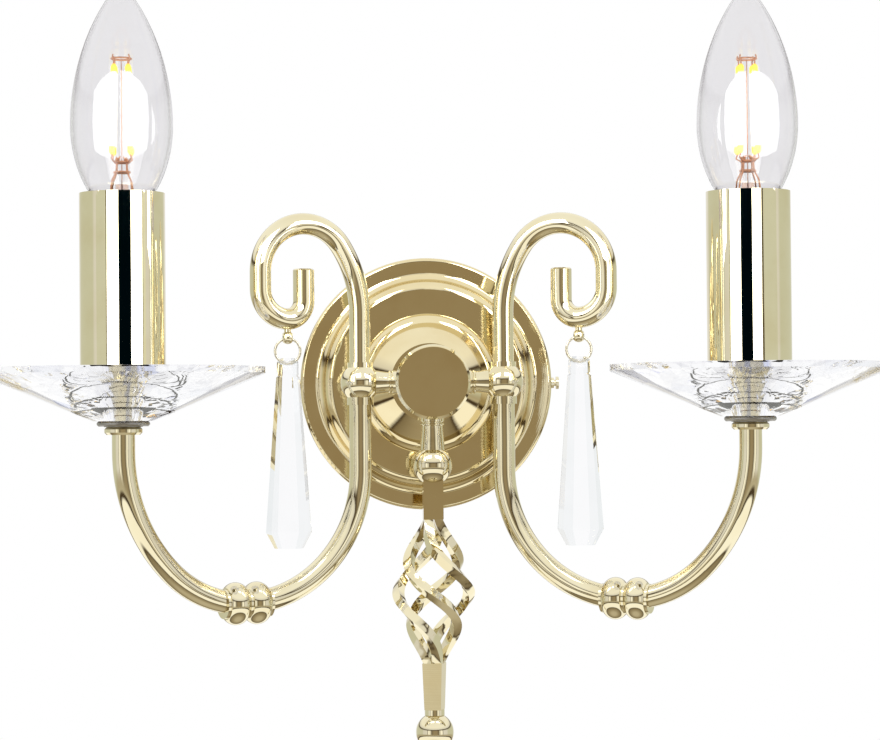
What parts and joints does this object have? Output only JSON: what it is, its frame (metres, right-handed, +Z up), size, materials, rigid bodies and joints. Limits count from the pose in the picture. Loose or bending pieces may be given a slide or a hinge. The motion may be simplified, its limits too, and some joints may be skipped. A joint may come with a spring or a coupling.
{
  "type": "double arm wall sconce",
  "caption": "Brass wall sconce with a round plate, paired swept arms, scrolls, candle lamps on cut crystal dishes, crystal drops and an open twist stem.",
  "frame": {"origin": "on the wall, at the centre of the wall plate's back and of the two slots in the wall strap", "axes": "+X to the right as seen from the room, +Z up, +Y into the wall; the arms reach out along -Y"},
  "size_m": [0.3142, 0.1289, 0.2732],
  "materials": {
    "brass_flat": "lacquered pale champagne brass, spun and polished",
    "brass_tube": "polished pale brass tube",
    "brass_turned": "polished turned brass",
    "brass_sleeve": "satin polished candle sleeve",
    "brass_small": "bright brass fittings",
    "pewter": "satin nickel washer",
    "strap_steel": "zinc plated strap",
    "block_plastic": "off-white terminal block",
    "cut_crystal": "clear cut crystal",
    "drop_crystal": "clear bevelled crystal",
    "lamp_glass": "clear lamp glass",
    "lamp_cap_metal": "rolled lamp cap",
    "lamp_foot": "black insulator with a solder button",
    "filament": "coated filament rods on thin wires",
    "holder_plastic": "heat resistant lampholder body",
    "ring_wire": "drawn wire",
    "flex": "insulated flex"
  },
  "bodies": {
    "fixture": {"arm_cable_left": "flex", "arm_cable_right": "flex", "arm_collar_left": "brass_small", "arm_collar_right": "brass_small", "arm_tube_left": "brass_tube", "arm_tube_right": "brass_tube", "backplate": "brass_flat", "ball_bottom": "brass_turned", "ball_left": "brass_turned", "ball_right": "brass_turned", "basket_rod_1": "brass_tube", "basket_rod_2": "brass_tube", "basket_rod_3": "brass_tube", "basket_rod_4": "brass_tube", "bobeche_left": "cut_crystal", "bobeche_right": "cut_crystal", "candle_nipple_left": "brass_small", "candle_nipple_right": "brass_small", "candle_sleeve_left": "brass_sleeve", "candle_sleeve_right": "brass_sleeve", "dish_washer_left": "pewter", "dish_washer_right": "pewter", "earth_screw": "brass_small", "end_ball": "brass_turned", "eye_bead_left": "brass_small", "eye_bead_right": "brass_small", "hub_body": "brass_turned", "hub_cap": "brass_flat", "hub_nipple": "brass_small", "hub_nut": "brass_small", "lampholder_body_left": "holder_plastic", "lampholder_body_right": "holder_plastic", "lampholder_contact_left": "brass_small", "lampholder_contact_right": "brass_small", "lampholder_shell_left": "lamp_cap_metal", "lampholder_shell_right": "lamp_cap_metal", "scroll_left": "brass_tube", "scroll_right": "brass_tube", "side_screws": "brass_small", "spigot_bottom": "brass_turned", "spigot_left": "brass_turned", "spigot_right": "brass_turned", "stem_lower_bar": "brass_flat", "stem_upper_bar": "brass_flat", "terminal_block": "block_plastic", "twin_bead_left": "brass_turned", "twin_bead_right": "brass_turned", "wall_strap": "strap_steel"},
    "bulb_foot_right": {"bulb_contact_right": "lamp_foot"},
    "bulb_right": {"bulb_cap_right": "lamp_cap_metal", "bulb_glass_right": "lamp_glass", "bulb_filament_right": "filament"},
    "ring_right": {"pendant_ring_right": "ring_wire"},
    "crystal_right": {"crystal_right": "drop_crystal"},
    "bulb_foot_left": {"bulb_contact_left": "lamp_foot"},
    "bulb_left": {"bulb_cap_left": "lamp_cap_metal", "bulb_glass_left": "lamp_glass", "bulb_filament_left": "filament"},
    "ring_left": {"pendant_ring_left": "ring_wire"},
    "crystal_left": {"crystal_left": "drop_crystal"}
  },
  "joints": [
    {"name": "bulb_rise_right", "type": "slide", "parent": "fixture", "child": "bulb_foot_right", "axis": [0, 0, 1], "range_m": [0, 0.00988]},
    {"name": "bulb_turn_right", "type": "hinge", "parent": "bulb_foot_right", "child": "bulb_right", "pos_m": [0.10838, -0.08024, 0.045], "axis": [0, 0, 1], "range_deg": [0, 1260]},
    {"name": "ring_swing_right", "type": "hinge", "parent": "fixture", "child": "ring_right", "pos_m": [0.05187, -0.05268, 0.0156], "axis": [1, 0, 0], "range_deg": [-30, 30]},
    {"name": "crystal_swing_right", "type": "hinge", "parent": "ring_right", "child": "crystal_right", "pos_m": [0.05187, -0.05268, 0.01115], "axis": [0, 1, 0], "range_deg": [-20, 9]},
    {"name": "bulb_rise_left", "type": "slide", "parent": "fixture", "child": "bulb_foot_left", "axis": [0, 0, 1], "range_m": [0, 0.00988]},
    {"name": "bulb_turn_left", "type": "hinge", "parent": "bulb_foot_left", "child": "bulb_left", "pos_m": [-0.10838, -0.08024, 0.045], "axis": [0, 0, 1], "range_deg": [0, 1260]},
    {"name": "ring_swing_left", "type": "hinge", "parent": "fixture", "child": "ring_left", "pos_m": [-0.05187, -0.05268, 0.0156], "axis": [1, 0, 0], "range_deg": [-30, 30]},
    {"name": "crystal_swing_left", "type": "hinge", "parent": "ring_left", "child": "crystal_left", "pos_m": [-0.05187, -0.05268, 0.01115], "axis": [0, 1, 0], "range_deg": [-9, 20]}
  ],
  "couplings": [
    {"joint": "bulb_rise_right", "follows": "bulb_turn_right", "m_per_rad": 0.00044882},
    {"joint": "bulb_rise_left", "follows": "bulb_turn_left", "m_per_rad": 0.00044882}
  ]
}
